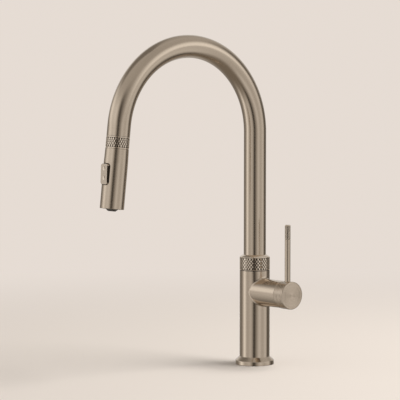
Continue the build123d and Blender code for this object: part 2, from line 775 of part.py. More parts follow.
with BuildPart() as mode_rocker:
    with BuildSketch(rocker_side):
        with BuildLine():
            Polyline(
                (rocker_start, rocker_underside),
                (rocker_end, rocker_underside),
                (rocker_end, rocker_low),
                (rocker_start, rocker_top),
                close=True,
            )
        make_face()
        with Locations(pin_spot):
            Circle(rocker_boss_radius)
        with Locations((window_middle, (rocker_underside + rocker_pivot_height) / 2)):
            Rectangle(2 * rocker_boss_radius, rocker_underside - rocker_pivot_height)
    extrude(amount=rocker_half_width, both=True)
    with BuildSketch(rocker_face.offset(rocker_pivot_height - rocker_boss_radius)):
        with Locations((0, (window_start + window_end - rocker_start - rocker_end) / 2)):
            rocker_corner = window_corner - rocker_side_gap
            RectangleRounded(2 * rocker_half_width, rocker_end - rocker_start, rocker_corner)
    extrude(amount=shell_radius, mode=Mode.INTERSECT)
    fillet(faces().sort_by(Axis(head.origin, head.y_dir))[-1].edges(), rocker_edge_round)
    for distance in rocker_dimples:
        place = window_start + distance
        surface = rocker_top + rocker_slope * (place - rocker_start)
        centre_height = surface + rocker_dimple_radius - rocker_dimple_depth
        with Locations(Plane(origin=head.offset(place).origin + head.y_dir * centre_height, z_dir=head.y_dir)):
            Sphere(rocker_dimple_radius, mode=Mode.SUBTRACT)
    with BuildSketch(rocker_side):
        with Locations((window_middle, (leg_tip + rocker_pivot_height) / 2)):
            Rectangle(leg_thickness, rocker_pivot_height - leg_tip)
    extrude(amount=leg_half_width, both=True)
    with BuildSketch(rocker_side):
        with Locations(pin_spot):
            Circle(rocker_pin_radius + running_gap)
    extrude(amount=shell_radius, both=True, mode=Mode.SUBTRACT)
save("mode_rocker", mode_rocker.part)

with BuildPart() as diverter_spool:
    rod(spool_radius, spool_start, spool_start + spool_length, frame=spool_axis)
    groove = {"bore": spool_groove_radius, "frame": spool_axis, "mode": Mode.SUBTRACT}
    half_groove = spool_groove_width / 2
    rod(spool_radius + 1, window_middle - half_groove, window_middle + half_groove, **groove)
save("diverter_spool", diverter_spool.part)

manifold_start = core_end + fit_gap
manifold_floor = aerator_start - fit_gap
chamber_radius = nozzle_ring_radius + nozzle_radius + seam_gap
chamber_bore = nozzle_ring_radius - nozzle_radius - seam_gap

with BuildPart() as spray_manifold:
    rod(manifold_radius, manifold_start, face_start, frame=head)
    rod(aerator_radius + fit_gap, manifold_floor, face_start, frame=head, mode=Mode.SUBTRACT)
    rod(chamber_radius, manifold_floor, face_start, frame=head, bore=chamber_bore, mode=Mode.SUBTRACT)
    rod(hose_bore, manifold_start, manifold_floor, frame=head, mode=Mode.SUBTRACT)
save("spray_manifold", spray_manifold.part)

with BuildPart() as spray_face:
    rod(manifold_radius, face_start, face_end, frame=head, bore=aerator_radius + 2 * fit_gap)
    with BuildSketch(head.offset(face_end)):
        with PolarLocations(nozzle_ring_radius, nozzle_count):
            Circle(nozzle_radius)
    extrude(amount=nozzle_length)
save("spray_face", spray_face.part)

with BuildPart() as aerator:
    turned(
        [
            (aerator_bore, aerator_start),
            (aerator_radius, aerator_start),
            (aerator_radius, aerator_shoulder),
            (aerator_tip_radius, aerator_end),
            (aerator_bore, aerator_end),
        ],
        frame=head,
    )
save("aerator", aerator.part)

with BuildPart() as face_retaining_ring:
    rod(ring_outer, ring_start, ring_end, frame=head, bore=ring_outer - ring_wall)
save("face_retaining_ring", face_retaining_ring.part)
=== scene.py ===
import json
import math
from math import cos, pi, radians, sin, tau

import bmesh
import bpy
from mathutils import Matrix, Vector


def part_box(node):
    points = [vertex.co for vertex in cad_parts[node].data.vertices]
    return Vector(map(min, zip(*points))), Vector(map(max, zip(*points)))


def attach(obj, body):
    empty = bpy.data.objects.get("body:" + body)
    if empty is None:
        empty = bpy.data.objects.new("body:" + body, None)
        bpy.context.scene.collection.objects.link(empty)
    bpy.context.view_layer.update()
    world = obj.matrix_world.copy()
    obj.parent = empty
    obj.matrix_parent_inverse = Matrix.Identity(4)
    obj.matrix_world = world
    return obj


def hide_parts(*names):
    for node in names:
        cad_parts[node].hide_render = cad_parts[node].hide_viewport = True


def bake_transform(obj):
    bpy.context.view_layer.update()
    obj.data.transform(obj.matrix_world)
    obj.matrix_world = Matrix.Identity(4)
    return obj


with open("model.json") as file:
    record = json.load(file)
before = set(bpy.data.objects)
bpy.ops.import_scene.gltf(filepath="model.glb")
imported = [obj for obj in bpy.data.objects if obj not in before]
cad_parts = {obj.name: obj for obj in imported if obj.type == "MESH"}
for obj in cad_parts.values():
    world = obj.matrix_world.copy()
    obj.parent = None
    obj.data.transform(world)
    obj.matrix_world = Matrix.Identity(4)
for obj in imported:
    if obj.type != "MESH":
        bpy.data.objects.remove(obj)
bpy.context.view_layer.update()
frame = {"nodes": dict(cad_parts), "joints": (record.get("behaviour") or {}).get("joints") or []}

# A pull-down kitchen faucet in brushed champagne nickel, with diamond-knurled collar, grip and lever.
# Lengths are metres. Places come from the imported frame.

MM = 0.001
scene = bpy.context.scene
nodes = frame["nodes"]


# ---- node writing -------------------------------------------------------------------------------


class Socket:
    """One output of a node, so that sums on it are written as Python."""

    def __init__(self, graph, socket):
        self.graph, self.socket = graph, socket

    def maths(self, operation, *others):
        """The Math node of this operation, with this output as its first value."""
        return self.graph.maths(operation, self, *others)

    def __add__(self, other):
        return self.maths("ADD", other)

    def __radd__(self, other):
        return self.graph.maths("ADD", other, self)

    def __sub__(self, other):
        return self.maths("SUBTRACT", other)

    def __rsub__(self, other):
        return self.graph.maths("SUBTRACT", other, self)

    def __neg__(self):
        return 0 - self

    def __mul__(self, other):
        return self.maths("MULTIPLY", other)

    def __rmul__(self, other):
        return self.graph.maths("MULTIPLY", other, self)

    def __truediv__(self, other):
        return self.maths("DIVIDE", other)

    def __rtruediv__(self, other):
        return self.graph.maths("DIVIDE", other, self)

    def __lt__(self, other):
        return self.maths("LESS_THAN", other)

    def __gt__(self, other):
        return self.maths("GREATER_THAN", other)


class Graph:
    """The nodes of a material, of the studio's light or of a shape."""

    def __init__(self, tree):
        self.tree = tree
        tree.nodes.clear()

    def node(self, kind, settings=None, sockets=None, output=0):
        """Adds a node. Its settings are set before the values and links of its sockets."""
        made = self.tree.nodes.new(kind)
        for key, value in (settings or {}).items():
            if key == "stops":
                self.set_stops(made.color_ramp.elements, value)
            else:
                setattr(made, key, value)
        for key, value in (sockets or {}).items():
            links = value if isinstance(value, list) else [value]
            if isinstance(links[0], Socket):
                for link in links:
                    self.tree.links.new(link.socket, made.inputs[key])
            else:
                made.inputs[key].default_value = value
        return Socket(self, made.outputs[output]) if made.outputs else made

    @staticmethod
    def set_stops(elements, stops):
        while len(elements) < len(stops):
            elements.new(1.0)
        for element, (position, colour) in zip(elements, stops):
            element.position = position
            element.color = colour4(colour)

    def maths(self, operation, *terms):
        return self.node("ShaderNodeMath", {"operation": operation}, dict(enumerate(terms)))

    def between(self, value, low, high):
        """0 below low and 1 above high, with a soft step between them."""
        sockets = {"Value": value, "From Min": low, "From Max": high}
        return self.node("ShaderNodeMapRange", {"interpolation_type": "SMOOTHSTEP"}, sockets)

    def mixed_colour(self, factor, first, second):
        return self.node("ShaderNodeMix", {"data_type": "RGBA"}, {0: factor, 6: first, 7: second}, 2)

    def object_place(self):
        return self.node("ShaderNodeTexCoord", output="Object")

    def on_axis(self, place):
        """Object coordinates in the frame of a turning axis: its Z is the height along the axis."""
        into = place.inverted()
        sockets = {"Vector": self.object_place(), "Rotation": into.to_euler(), "Location": into.translation}
        return self.node("ShaderNodeMapping", {"vector_type": "POINT"}, sockets)

    def along(self):
        """The length along a swept tube, which its mesh keeps."""
        return self.node("ShaderNodeAttribute", {"attribute_name": "along"}, output="Fac")

    def separate(self, vector):
        made = self.node("ShaderNodeSeparateXYZ", {}, {"Vector": vector}).socket.node
        return [Socket(self, made.outputs[i]) for i in range(3)]

    def combined(self, x, y, z):
        return self.node("ShaderNodeCombineXYZ", {}, {"X": x, "Y": y, "Z": z})

    def scaled(self, vector, scale):
        return self.node("ShaderNodeVectorMath", {"operation": "MULTIPLY"}, {0: vector, 1: scale})

    def noise(self, vector):
        sockets = {"Vector": vector, "Scale": 1.0, "Detail": 2.0, "Roughness": 0.55}
        return self.node("ShaderNodeTexNoise", {}, sockets)


def colour4(colour):
    return (*colour, 1.0)


def radius_of(x, y):
    """The distance from a turning axis, of sockets."""
    return (x * x + y * y).maths("POWER", 0.5)


VIEWPORT_TONE = (0.6, 0.55, 0.48)


def new_material(name):
    """An empty material and the graph that its nodes go in."""
    material = bpy.data.materials.new(name)
    material.use_nodes = True
    return material, Graph(material.node_tree)


def finish_material(name, make):
    """A material whose shader sockets come from make(graph)."""
    material, graph = new_material(name)
    sockets = make(graph)
    bump = sockets.pop("Bump", None)
    if bump:
        height, strength, distance = bump
        values = {"Height": height, "Strength": strength, "Distance": distance}
        sockets["Normal"] = graph.node("ShaderNodeBump", {}, values)
    shader = graph.node("ShaderNodeBsdfPrincipled", {}, sockets)
    graph.node("ShaderNodeOutputMaterial", {}, {"Surface": shader})
    material.diffuse_color = colour4(VIEWPORT_TONE)
    return material


# ---- places read from the frame -----------------------------------------------------------------


def low(node):
    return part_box(node)[0]


def high(node):
    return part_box(node)[1]


def seen_from(place, node):
    """The corners of a CAD node in the frame of a turning axis."""
    into = place.inverted()
    return [into @ vertex.co for vertex in nodes[node].data.vertices]


def span(node, place):
    """Lowest and highest height of a CAD node along a turning axis, and its largest radius about it."""
    points = seen_from(place, node)
    heights = [point.z for point in points]
    return min(heights), max(heights), max(math.hypot(point.x, point.y) for point in points)


def axis_place(origin, direction, outward):
    """The frame of a turning axis: Z along it and Y towards outward."""
    z = Vector(direction).normalized()
    x = Vector(outward).cross(z).normalized()
    return Matrix.Translation(origin) @ Matrix((x, z.cross(x), z)).transposed().to_4x4()


head_pull = next(joint for joint in frame["joints"] if joint["name"] == "head_pull")
pull = Vector(head_pull["axis"])
hose_radius = high("pullout_hose").x
sweep = math.atan2(-pull.y, pull.z)
arch_radius = (hose_radius * cos(sweep) - low("pullout_hose").y) / (1 - cos(sweep))
arch_start = high("pullout_hose").z - arch_radius - hose_radius
arch_end = Vector((0, arch_radius * (cos(sweep) - 1), arch_start + arch_radius * sin(sweep)))
arch_length = arch_radius * sweep

hub_height = (low("handle_knob").z + high("handle_knob").z) / 2
column = Matrix.Identity(4)
hub = axis_place((0, 0, hub_height), (1, 0, 0), (0, 0, 1))
head = axis_place(arch_end, pull, (0, pull.z, -pull.y))
lever = axis_place(((low("lever_pin").x + high("lever_pin").x) / 2, 0, 0), (0, 0, 1), (1, 0, 0))
head_radius = span("head_shell", head)[2]
shank_radius = span("mounting_shank", column)[2]


def past_arch(node):
    """How far a CAD node goes past the end of the arch, near the spray head's axis."""
    points = seen_from(head, node)
    return max(point.z for point in points if math.hypot(point.x, point.y) < 1.5 * head_radius)


# ---- finishes -----------------------------------------------------------------------------------

CHAMPAGNE = (0.735, 0.625, 0.51)
CHAMPAGNE_SHADE = (0.66, 0.55, 0.435)
# A painted highlight, for the lit face of the rocker.
CHAMPAGNE_PAINTED_HIGHLIGHT = (0.90, 0.79, 0.67)
# Painted shade, near-black, for hollows and for the gap round the rocker.
PAINTED_RECESS_SHADE = (0.035, 0.026, 0.018)
# Painted highlight on the knurls' flats and plain lands, and painted shade in their cuts.
PAINTED_FLAT_HIGHLIGHT_DIM, PAINTED_FLAT_HIGHLIGHT = (0.86, 0.735, 0.60), (1.0, 0.87, 0.73)
PAINTED_CUT_SHADE = (0.022, 0.015, 0.009)
BRAID_STRAND, BRAID_GAP = (0.32, 0.315, 0.31), (0.045, 0.044, 0.043)

# Fine brush lines are LINE_WIDTH wide. Broad ones among them are BROAD_SHARE as many.
LINE_WIDTH = 0.25 * MM
BROAD_SHARE = 0.22
LEAST_ROUGHNESS = 0.12


def brushed_metal(graph, fine, broad):
    """Shader sockets of champagne nickel whose brush lines are these two noises."""
    lines = fine * 0.6 + broad * 0.4
    return {
        "Base Color": graph.mixed_colour(lines, colour4(CHAMPAGNE_SHADE), colour4(CHAMPAGNE)),
        "Metallic": 1.0, "Roughness": lines * 0.10 + LEAST_ROUGHNESS, "Bump": (fine, 0.6, 0.02 * MM),
    }


def brushed(name, place, side=None, painted_shade_below=None):
    """Champagne nickel with fine lines that run round the turning axis of place.

    Past the radius side the lines run round the hub. Well below a radius given as the last argument, the
    metal is painted near-black: painted shade in the hollow inside a shell.
    """

    def make(graph):
        position = graph.on_axis(place)
        fine = graph.noise(graph.scaled(position, (60, 60, 1 / LINE_WIDTH)))
        broad = graph.noise(graph.scaled(position, (25, 25, BROAD_SHARE / LINE_WIDTH)))
        if side:
            across = graph.noise(graph.scaled(graph.object_place(), (1 / LINE_WIDTH, 60, 60)))
            x, y, _ = graph.separate(graph.object_place())
            outside = radius_of(x, y) > side
            fine = fine * (1 - outside) + across * outside
        metal = brushed_metal(graph, fine, broad)
        # Painted shade: well below the given radius, inside the shell, the colour goes to near-black.
        if painted_shade_below:
            x, y, _ = graph.separate(position)
            outside_painted_shade = graph.between(radius_of(x, y), painted_shade_below - 1.3 * MM, painted_shade_below - 0.9 * MM)
            metal["Base Color"] = graph.mixed_colour(outside_painted_shade, colour4(PAINTED_RECESS_SHADE), metal["Base Color"])
        return metal

    return finish_material(name, make)


def brushed_along_spout(name):
    """Champagne nickel with lines that run round the bent tube, all the way along it."""

    def make(graph):
        along = graph.along()
        x, y, z = graph.separate(graph.object_place())
        fine, broad = [
            graph.noise(graph.combined(x * 60, (y + z) * 60, along * (share / LINE_WIDTH)))
            for share in (1.0, BROAD_SHARE)
        ]
        return brushed_metal(graph, fine, broad)

    return finish_material(name, make)


def rocker_face(name):
    """Champagne nickel with a painted highlight on the face of the rocker, and painted shade on its edge and
    its sides, where the gap round it is.
    """
    edge, blur = 0.3 * MM, 0.1 * MM
    points = seen_from(head, "mode_rocker")

    def make(graph):
        position = graph.on_axis(head)
        x, _, z = graph.separate(position)
        face = 1
        for axis, reach in ((x, [point.x for point in points]), (z, [point.z for point in points])):
            first, last = min(reach) + edge, max(reach) - edge
            face = graph.between(axis, first - blur, first) * face
            face = face * (1 - graph.between(axis, last, last + blur))
        fine = graph.noise(graph.scaled(position, (60, 60, 1 / LINE_WIDTH)))
        # Painted highlight: the face is brighter than the plain nickel. Painted shade: its edge and sides go
        # near-black, for the gap round it.
        bright = graph.mixed_colour(fine, colour4(CHAMPAGNE), colour4(CHAMPAGNE_PAINTED_HIGHLIGHT))
        return {
            "Base Color": graph.mixed_colour(face, colour4(PAINTED_RECESS_SHADE), bright), "Metallic": 1.0,
            "Roughness": fine * 0.10 + 0.2, "Bump": (fine, 0.6, 0.02 * MM),
        }

    return finish_material(name, make)


def turned_face(name, place):
    """Champagne nickel with lines round the axis of place on its side, and rings on its end face."""
    rings_per_metre, lines_per_metre = 2200, 3600

    def make(graph):
        x, y, z = graph.separate(graph.on_axis(place))
        rings = graph.node("ShaderNodeTexNoise", {"noise_dimensions": "1D"}, {
            "W": radius_of(x, y) * rings_per_metre + z * lines_per_metre, "Scale": 1.0, "Detail": 2.0,
        })
        colour = graph.mixed_colour(rings, colour4(CHAMPAGNE_SHADE), colour4(CHAMPAGNE))
        return {
            "Base Color": colour, "Metallic": 1.0, "Roughness": rings * 0.12 + 0.13,
            "Bump": (rings, 1.0, 0.16 * MM),
        }

    return finish_material(name, make)


def braided(name, strands=16, pitch=9 * MM):
    """Grey nylon braid: two sets of strands that cross on the slant."""

    def make(graph):
        x, y, _ = graph.separate(graph.on_axis(head))
        turn = y.maths("ARCTAN2", x) * (strands / 2)
        advance = graph.along() * (tau * strands / 2 / pitch / 2)
        right, left = (turn + advance).maths("SINE"), (turn - advance).maths("SINE")
        weave = right.maths("MAXIMUM", left) * 0.5 + 0.5
        colour = graph.mixed_colour(weave, colour4(BRAID_GAP), colour4(BRAID_STRAND))
        return {
            "Base Color": colour, "Roughness": 0.62 - weave * 0.2, "Bump": (weave, 0.8, 0.25 * MM),
        }

    return finish_material(name, make)


def knurled(name, place, radius, rise, bottom, top):
    """The same nickel with a painted highlight on the diamonds' flats and painted shade in the cuts from
    bottom to top of the band.
    """

    def make(graph):
        position = graph.on_axis(place)
        x, y, z = graph.separate(position)
        # Painted shade in the cuts below the flats; the flats and the lands past the band carry a painted
        # highlight.
        height = graph.between(radius_of(x, y), radius - 0.5 * rise, radius - 0.1 * rise)
        height = height.maths("MAXIMUM", (z < bottom) + (z > top))
        grain = graph.noise(graph.scaled(position, (1500, 1500, 4000)))
        flat = graph.mixed_colour(grain, colour4(PAINTED_FLAT_HIGHLIGHT_DIM), colour4(PAINTED_FLAT_HIGHLIGHT))
        return {
            "Base Color": graph.mixed_colour(height, colour4(PAINTED_CUT_SHADE), flat), "Metallic": 1.0,
            "Roughness": 0.42 - height * 0.25, "Bump": (grain, 0.3, 0.02 * MM),
        }

    return finish_material(name, make)


def mottled(name, light, dark, roughness, spread, metallic, cloud_scale, grain_size, grain_depth):
    """Two tones in a soft cloud, with a fine grain in the surface and in its roughness."""

    def make(graph):
        place = graph.object_place()
        grain = graph.noise(graph.scaled(place, (1 / grain_size,) * 3))
        cloud = graph.noise(graph.scaled(place, (cloud_scale,) * 3))
        return {
            "Base Color": graph.mixed_colour(cloud, colour4(dark), colour4(light)),
            "Metallic": metallic, "Roughness": grain * spread + roughness,
            "Bump": (grain, grain_depth, 0.04 * MM),
        }

    return finish_material(name, make)


def cast_metal(name, light, dark, roughness):
    """Brass, copper or steel under the deck and inside, with the mottle of a drawn or machined part."""
    return mottled(name, light, dark, roughness, spread=0.14, metallic=1.0,
                   cloud_scale=90, grain_size=0.4 * MM, grain_depth=0.12)


def moulded(name, light, dark, roughness):
    """A moulded plastic, rubber or ceramic with a fine grain."""
    return mottled(name, light, dark, roughness, spread=0.16, metallic=0.0,
                   cloud_scale=120, grain_size=0.5 * MM, grain_depth=0.18)


# ---- studio -------------------------------------------------------------------------------------

WALL = (0.79, 0.715, 0.655)
DECK = (0.82, 0.765, 0.715)
BELOW = (0.21, 0.185, 0.155)


def camera():
    """A long lens from the front right, that looks slightly down."""
    made = bpy.data.objects.new("camera", bpy.data.cameras.new("camera"))
    scene.collection.objects.link(made)
    made.location = (1.87862, -1.60514, 0.37068)
    made.rotation_euler = (radians(86.221), 0, radians(51.092))
    made.data.sensor_width = 36
    made.data.lens = 176.96
    made.data.clip_start = 0.05
    scene.camera = made
    scene.view_settings.view_transform = "Standard"


def soft_boxes(graph, turn, bearings):
    """Brightness round the room, from bearings in degrees; 0 is -Y and 90 is +X. Dim parts are warmer."""
    bright, dim = Vector((1.0, 0.985, 0.965)), Vector((1.0, 0.90, 0.78))
    stops = [
        ((bearing + 180) / 360, [level * c for c in dim.lerp(bright, min(1, level / 0.7))])
        for bearing, level in bearings
    ]
    return graph.node("ShaderNodeValToRGB", {"stops": stops}, {"Fac": turn})


def studio_light():
    """Tall soft boxes with dark flags between them, dimmer near the deck, under a soft ceiling."""
    world = bpy.data.worlds.new("studio")
    scene.world = world
    world.use_nodes = True
    graph = Graph(world.node_tree)
    x, y, z = graph.separate(graph.node("ShaderNodeTexCoord", output="Generated"))
    turn = x.maths("ARCTAN2", -y) / tau + 0.5
    lower = soft_boxes(graph, turn, (
        (-180, 0.12), (-160, 0.28), (-140, 0.50), (-120, 0.36), (-96, 0.24), (-76, 0.20),
        (-62, 0.32), (-50, 0.52), (-39, 1.02), (-26, 0.84), (-16, 0.50), (-4, 0.47), (16, 0.58),
        (26, 0.50), (33, 0.34), (40, 0.06), (48, 0.05), (55, 0.19), (67, 0.40), (84, 0.66),
        (94, 0.60), (106, 0.49), (118, 0.51), (130, 0.60), (143, 0.66), (151, 0.44), (160, 0.18),
        (168, 0.08), (180, 0.12),
    ))
    upper = soft_boxes(graph, turn, (
        (-180, 0.20), (-158, 0.55), (-134, 0.74), (-108, 0.70), (-84, 0.34), (-74, 0.60),
        (-60, 0.90), (-46, 0.98), (-34, 0.76), (-12, 0.72), (4, 0.80), (18, 0.66), (28, 0.40),
        (37, 0.12), (48, 0.07), (58, 0.19), (84, 0.45), (100, 0.62), (116, 0.90), (136, 1.02),
        (146, 0.90), (156, 0.38), (166, 0.12), (180, 0.20),
    ))
    walls = graph.mixed_colour(graph.between(z, 0.0, 0.2), lower, upper)
    ceiling = soft_boxes(graph, turn, (
        (-180, 0.48), (-135, 0.40), (-112, 0.22), (-58, 0.20), (-30, 0.46), (90, 0.42), (180, 0.48),
    ))
    room = graph.mixed_colour(graph.between(z, 0.34, 0.72), walls, ceiling)
    floor_side = 1 - graph.between(z, -0.95, -0.55)
    room = graph.mixed_colour(floor_side, room, colour4(BELOW))
    background = graph.node("ShaderNodeBackground", {}, {"Color": room, "Strength": 1.0})
    graph.node("ShaderNodeOutputWorld", {}, {"Surface": background})


def key_light():
    """A large soft box high behind the right, which throws the soft shadow to the left of the base."""
    light = bpy.data.lights.new("key", "AREA")
    light.shape = "DISK"
    light.size = 1.6
    light.energy = 42
    light.color = (1.0, 0.965, 0.93)
    made = bpy.data.objects.new("key", light)
    scene.collection.objects.link(made)
    bearing, rise, distance = radians(132), radians(58), 2.4
    away = Vector((sin(bearing) * cos(rise), -cos(bearing) * cos(rise), sin(rise)))
    made.location = away * distance
    made.rotation_euler = away.to_track_quat("Z", "Y").to_euler()
    made.visible_glossy = False


def ring_mesh(name, radii, heights, sides):
    """A surface of revolution about the column, through circles of these radii and heights."""
    mesh = bpy.data.meshes.new(name)
    made = bmesh.new()
    circles = []
    turns = [tau * i / sides for i in range(sides)]
    for radius, height in zip(radii, heights):
        corners = [(radius * cos(a), radius * sin(a), height) for a in turns]
        circles.append([made.verts.new(corner) for corner in corners])
    for lower, upper in zip(circles, circles[1:]):
        for i in range(sides):
            made.faces.new((lower[i], lower[i - 1], upper[i - 1], upper[i]))
    made.to_mesh(mesh)
    made.free()
    return mesh


def glow(graph):
    """The backdrop's own light, which is the wall's colour."""
    return graph.node("ShaderNodeEmission", {}, {"Color": colour4(WALL)})


def floor_and_backdrop():
    """A pale deck round the shank, whose far part glows like the pale backdrop all round."""
    rim, hole = 1.5, shank_radius + 0.6 * MM
    deck = ring_mesh("floor", [rim, hole], [0, 0], 96)
    floor = bpy.data.objects.new("floor", deck)
    material, graph = new_material("pale_floor")
    x, y, _ = graph.separate(graph.object_place())
    painted = graph.node("ShaderNodeBsdfDiffuse", {}, {"Color": colour4(DECK)})
    fade = graph.between(radius_of(x, y), 0.25, 1.2)
    surface = graph.node("ShaderNodeMixShader", {}, {0: fade, 1: painted, 2: glow(graph)})
    graph.node("ShaderNodeOutputMaterial", {}, {"Surface": surface})
    deck.materials.append(material)

    steps, reach = 24, 6
    rises = [pi * i / steps - pi / 2 for i in range(1, steps)]
    dome = ring_mesh("backdrop", [reach * cos(a) for a in rises], [reach * sin(a) for a in rises], 64)
    backdrop = bpy.data.objects.new("backdrop", dome)
    material, graph = new_material("pale_backdrop")
    graph.node("ShaderNodeOutputMaterial", {}, {"Surface": glow(graph)})
    dome.materials.append(material)
    for made in (floor, backdrop):
        scene.collection.objects.link(made)
        made.visible_glossy = False
    backdrop.visible_diffuse = False
    backdrop.visible_shadow = False
    backdrop.visible_transmission = False


# ---- shared finishes ----------------------------------------------------------------------------

champagne_column = brushed("champagne_column", column, side=shank_radius + 3 * MM)
champagne_upright = brushed("champagne_upright", column)
champagne_head = brushed("champagne_head", head, painted_shade_below=head_radius)
champagne_rocker = rocker_face("champagne_rocker")
champagne_hub = brushed("champagne_hub", hub)
champagne_knob = turned_face("champagne_knob", hub)
champagne_spout = brushed_along_spout("champagne_spout")
braid = braided("grey_braid")
brass = cast_metal("machined_brass", (0.80, 0.62, 0.36), (0.66, 0.47, 0.24), 0.22)
copper = cast_metal("drawn_copper", (0.78, 0.47, 0.32), (0.60, 0.33, 0.21), 0.24)
steel = cast_metal("stainless_steel", (0.62, 0.61, 0.60), (0.48, 0.475, 0.47), 0.22)
rubber = moulded("black_rubber", (0.045, 0.043, 0.04), (0.028, 0.027, 0.026), 0.5)
silicone = moulded("grey_silicone", (0.15, 0.145, 0.14), (0.10, 0.098, 0.095), 0.45)
white_acetal = moulded("white_acetal", (0.86, 0.85, 0.82), (0.76, 0.75, 0.72), 0.32)
black_nylon = moulded("black_nylon", (0.07, 0.067, 0.063), (0.045, 0.043, 0.04), 0.38)
alumina = moulded("white_alumina", (0.92, 0.91, 0.88), (0.84, 0.83, 0.80), 0.12)

BY_SLOT = {
    "champagne_brushed": champagne_upright,
    "champagne_knurled": champagne_upright,
    "brass": brass,
    "copper_tube": copper,
    "stainless": steel,
    "dark_rubber": rubber,
    "grey_rubber": silicone,
    "white_nylon": white_acetal,
    "dark_nylon": black_nylon,
    "ceramic": alumina,
    "hose_braid": braid,
}
BY_NODE = {
    "column_body": champagne_column,
    "head_shell": champagne_head,
    "mode_rocker": champagne_rocker,
    "handle_knob": champagne_knob,
    "cartridge_shroud": champagne_hub,
}


def finish_cad_nodes():
    for name, node in nodes.items():
        for holder in node.material_slots:
            holder.material = BY_NODE.get(name) or BY_SLOT[holder.material.name.split(".")[0]]


# ---- shapes -------------------------------------------------------------------------------------


def piece(name, mesh, body, slot, *replaced):
    """A finished mesh as a piece on its body, which stands for the CAD nodes that it replaces."""
    made = bpy.data.objects.new(name, mesh)
    scene.collection.objects.link(made)
    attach(made, body)
    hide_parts(*replaced)


def eased(profile, amount):
    """The closed profile with each corner cut back by amount."""
    corners = [Vector(point) for point in profile]
    cut = []
    for before, corner, after in zip(corners[-1:] + corners[:-1], corners, corners[1:] + corners[:1]):
        if corner.x == 0:
            cut.append(corner)
            continue
        cut += [corner + (side - corner).normalized() * amount for side in (before, after)]
    return cut


def smoothed(mesh, sharpest):
    """Smooth shading on the mesh, except at edges that turn by more than sharpest degrees."""
    mesh.shade_smooth()
    mesh.set_sharp_from_angle(angle=radians(sharpest))
    return mesh


def turned(name, profile, material, sides=128):
    """A closed body of revolution about Z, from the (radius, height) corners of its section."""
    mesh = bpy.data.meshes.new(name)
    made = bmesh.new()
    circles = []
    for radius, height in profile:
        count = sides if radius > 0 else 1
        turns = [tau * i / sides for i in range(count)]
        circles.append([made.verts.new((radius * cos(a), radius * sin(a), height)) for a in turns])
    for first, second in zip(circles, circles[1:] + circles[:1]):
        if len(first) == len(second) == 1:
            continue
        for i in range(sides):
            corners = [first[i % len(first)], first[i - 1 if len(first) > 1 else 0],
                       second[i - 1 if len(second) > 1 else 0], second[i % len(second)]]
            made.faces.new(list(dict.fromkeys(corners)))
    bmesh.ops.recalc_face_normals(made, faces=made.faces)
    made.to_mesh(mesh)
    made.free()
    mesh.materials.append(material)
    return smoothed(mesh, 30)


def geometry_graph(name, inputs):
    """An empty geometry tree with these named inputs, and a function that reads one of them."""
    tree = bpy.data.node_groups.new(name, "GeometryNodeTree")
    for label, kind in inputs.items():
        tree.interface.new_socket(label, in_out="INPUT", socket_type="NodeSocket" + kind)
    tree.interface.new_socket("Made", in_out="OUTPUT", socket_type="NodeSocketGeometry")
    graph = Graph(tree)
    given = graph.node("NodeGroupInput").socket.node
    return tree, graph, lambda label: Socket(graph, given.outputs[label])


def grown(mesh, tree, sizes):
    """The mesh that a geometry tree makes from this one, with its inputs set to sizes."""
    holder = bpy.data.objects.new("holder", mesh)
    scene.collection.objects.link(holder)
    modifier = holder.modifiers.new("shape", "NODES")
    modifier.node_group = tree
    for item in tree.interface.items_tree:
        if item.name in sizes:
            modifier[item.identifier] = sizes[item.name]
    evaluated = holder.evaluated_get(bpy.context.evaluated_depsgraph_get())
    made = bpy.data.meshes.new_from_object(evaluated)
    bpy.data.objects.remove(holder)
    return made


def diamond_knurl():
    """Rings of low, flat-topped pyramids round a turned band, every other row half a diamond on."""
    tree, graph, given = geometry_graph("diamond_knurl", {
        "Body": "Geometry", "Radius": "Float", "Rise": "Float", "Sink": "Float", "Bottom": "Float",
        "Row Pitch": "Float", "Columns": "Int", "Rows": "Int", "Flat": "Float", "Material": "Material",
    })
    index = graph.node("GeometryNodeInputIndex")
    row = ((index + 0.5) / given("Columns")).maths("FLOOR")
    stagger = row.maths("MODULO", 2.0) * 0.5
    angle = (index - row * given("Columns") + stagger) * tau / given("Columns")
    base = given("Radius") - given("Rise") - given("Sink")
    height = given("Bottom") + (row + 1.0) * given("Row Pitch")
    place = graph.combined(base * angle.maths("COSINE"), base * angle.maths("SINE"), height)
    points = graph.node("GeometryNodePoints", {}, {
        "Count": given("Columns") * given("Rows"), "Position": place,
    })
    diamond = graph.node("GeometryNodeMeshCone", {"fill_type": "NGON"}, {
        "Vertices": 4, "Radius Top": given("Flat"), "Radius Bottom": 1.0, "Depth": 1.0,
    })
    turn = graph.combined(0.0, pi / 2, angle)
    half_width = given("Radius") * pi / given("Columns")
    scale = graph.combined(given("Row Pitch"), half_width, given("Rise") + given("Sink"))
    stamped = graph.node("GeometryNodeInstanceOnPoints", {}, {
        "Points": points, "Instance": diamond, "Scale": scale,
        "Rotation": graph.node("FunctionNodeEulerToRotation", {}, {0: turn}),
    })
    joined = graph.node("GeometryNodeJoinGeometry", {}, {0: [given("Body"), stamped]})
    solid = graph.node("GeometryNodeRealizeInstances", {}, {0: joined})
    coated = graph.node("GeometryNodeSetMaterial", {}, {"Geometry": solid, "Material": given("Material")})
    graph.node("NodeGroupOutput", {}, {"Made": coated})
    return tree


def line_mesh(points, lengths):
    """Points joined in a line; each keeps its length along the piece, in an attribute named along."""
    mesh = bpy.data.meshes.new("line")
    mesh.from_pydata(points, [(i, i + 1) for i in range(len(points) - 1)], [])
    along = mesh.attributes.new("along", "FLOAT", "POINT")
    along.data.foreach_set("value", lengths)
    return mesh


